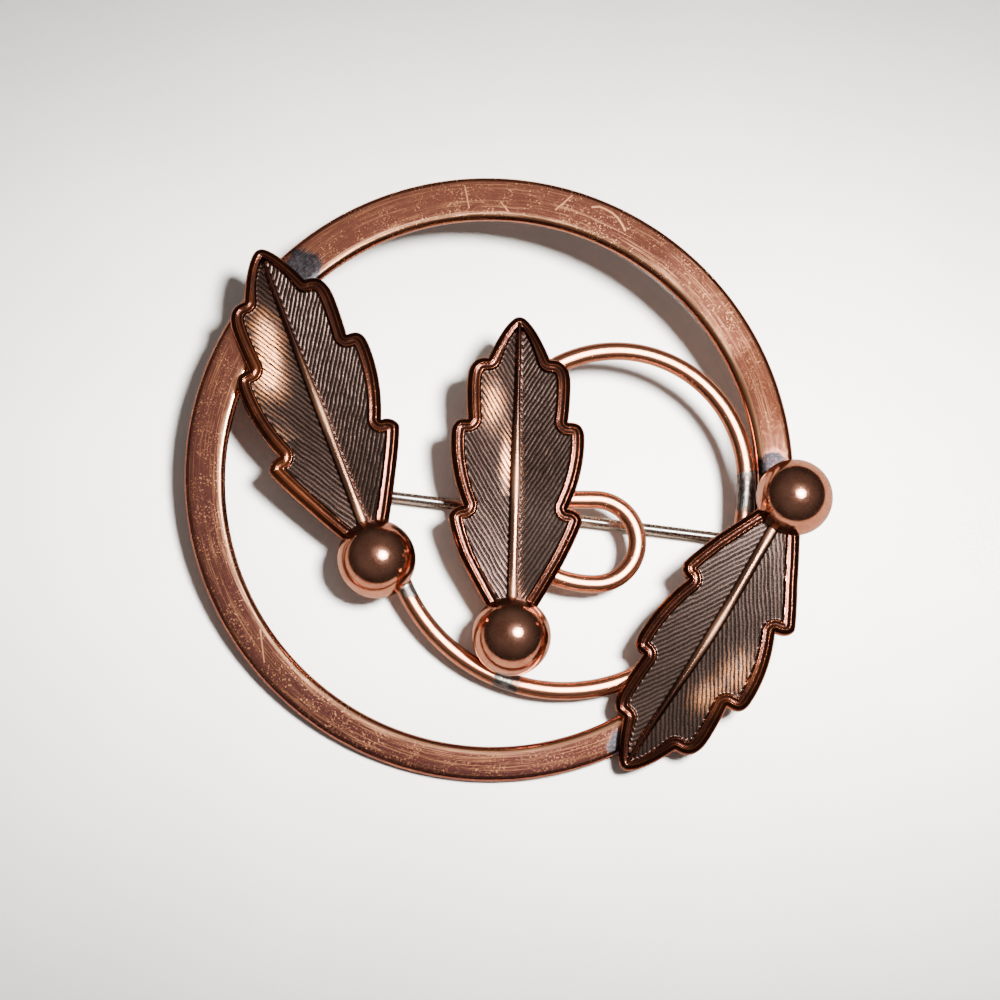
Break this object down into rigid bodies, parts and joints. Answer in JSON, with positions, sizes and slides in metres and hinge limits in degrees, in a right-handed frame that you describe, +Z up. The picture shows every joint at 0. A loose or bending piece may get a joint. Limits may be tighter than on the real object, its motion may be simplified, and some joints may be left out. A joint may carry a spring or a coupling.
{
  "type": "leaf brooch",
  "caption": "Round copper brooch with a curled wire vine, ribbed leaves with a ball at each foot, and a hinged pin stem with an open catch behind.",
  "frame": {"origin": "on the table under the middle of the lying brooch", "axes": "+Z up from the table, through the brooch's thickness; +X to the right along its widest extent, from the leaf by the hinge to the ball by the catch; +Y towards the top of the ring"},
  "size_m": [0.06, 0.0564, 0.0127],
  "materials": {
    "ring_copper": "brushed",
    "vine_copper": "polished",
    "leaf_copper": "antiqued",
    "ball_copper": "mirror polished",
    "pin_silver": "polished"
  },
  "bodies": {
    "brooch": {"ring": "ring_copper", "vine": "vine_copper", "leaf_left": "leaf_copper", "leaf_middle": "leaf_copper", "leaf_right": "leaf_copper", "ball_left": "ball_copper", "ball_middle": "ball_copper", "ball_right": "ball_copper", "pin_hinge": "pin_silver", "pin_catch": "pin_silver"},
    "pin": {"pin_stem": "pin_silver"}
  },
  "joints": [
    {"name": "pin_swing", "type": "hinge", "parent": "brooch", "child": "pin", "pos_m": [-0.0149, -0.00051, 0.0014], "axis": [0.1178, 0.9806, 0.1564], "range_deg": [0, 70]}
  ]
}
